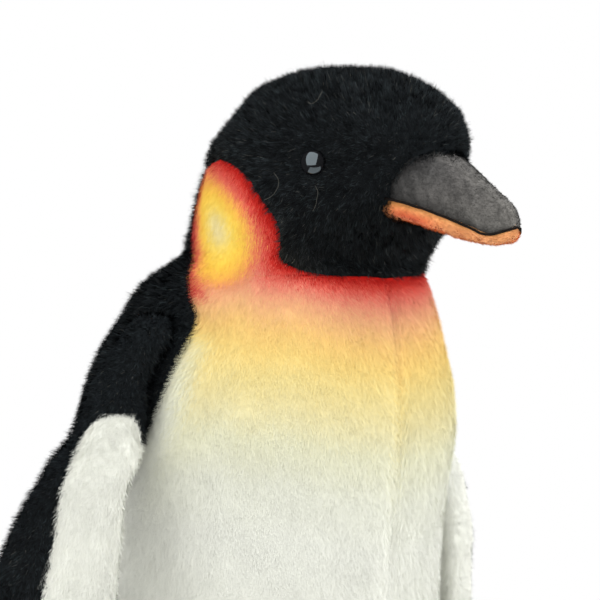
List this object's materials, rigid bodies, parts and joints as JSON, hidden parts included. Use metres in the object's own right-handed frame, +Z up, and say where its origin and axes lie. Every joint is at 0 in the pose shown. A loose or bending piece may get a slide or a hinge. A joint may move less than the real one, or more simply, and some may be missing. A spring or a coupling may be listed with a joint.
{
  "type": "plush penguin",
  "caption": "Standing plush king penguin in long black and airbrushed pile cloth, with a velour bill, domed eyes, jointed flippers, a tail and a flat base.",
  "frame": {"origin": "middle of the underside of the whole penguin's bounding box, on the floor it stands on", "axes": "+Z up; the penguin faces -Y; its own left side is +X"},
  "size_m": [0.402, 0.366, 0.5972],
  "materials": {
    "black_pile": "matte",
    "chest_pile": "matte",
    "white_pile": "matte",
    "grey_velour": "matte",
    "orange_velour": "matte",
    "black_trim": "matte",
    "foot_cloth": "matte",
    "base_cloth": "matte",
    "filling": "matte",
    "pellet_cloth": "matte",
    "eye_plastic": "gloss",
    "washer_plastic": "matte",
    "stiffener": "matte"
  },
  "bodies": {
    "torso": {"hood_left": "black_pile", "front_left": "chest_pile", "back_left": "black_pile", "eye_left": "eye_plastic", "eye_washer_left": "washer_plastic", "foot_upper_left": "foot_cloth", "foot_sole_left": "foot_cloth", "foot_board_left": "stiffener", "foot_stuffing_left": "filling", "hood_right": "black_pile", "front_right": "chest_pile", "back_right": "black_pile", "eye_right": "eye_plastic", "eye_washer_right": "washer_plastic", "foot_upper_right": "foot_cloth", "foot_sole_right": "foot_cloth", "foot_board_right": "stiffener", "foot_stuffing_right": "filling", "body_stuffing": "filling", "head_stuffing": "filling", "bill_upper": "grey_velour", "bill_lower": "orange_velour", "mouth_trim": "black_trim", "bill_stuffing": "filling", "base_panel": "base_cloth", "base_board": "stiffener", "pellet_bag": "pellet_cloth"},
    "flipper_left": {"flipper_back_left": "black_pile", "flipper_front_left": "white_pile", "flipper_stuffing_left": "filling"},
    "flipper_right": {"flipper_back_right": "black_pile", "flipper_front_right": "white_pile", "flipper_stuffing_right": "filling"},
    "tail": {"tail_upper": "black_pile", "tail_under": "black_pile", "tail_stuffing": "filling"}
  },
  "joints": [
    {"name": "flipper_left_root", "type": "hinge", "parent": "torso", "child": "flipper_left", "pos_m": [0.101, 0.0195, 0.45], "axis": [0, -1, 0], "range_deg": [0, 70], "stiffness_Nm_per_rad": 0.06},
    {"name": "flipper_right_root", "type": "hinge", "parent": "torso", "child": "flipper_right", "pos_m": [-0.101, 0.0195, 0.45], "axis": [0, 1, 0], "range_deg": [0, 70], "stiffness_Nm_per_rad": 0.06},
    {"name": "tail_root", "type": "hinge", "parent": "torso", "child": "tail", "pos_m": [0, 0.1245, 0.057], "axis": [1, 0, 0], "range_deg": [-6, 25], "stiffness_Nm_per_rad": 0.03}
  ]
}
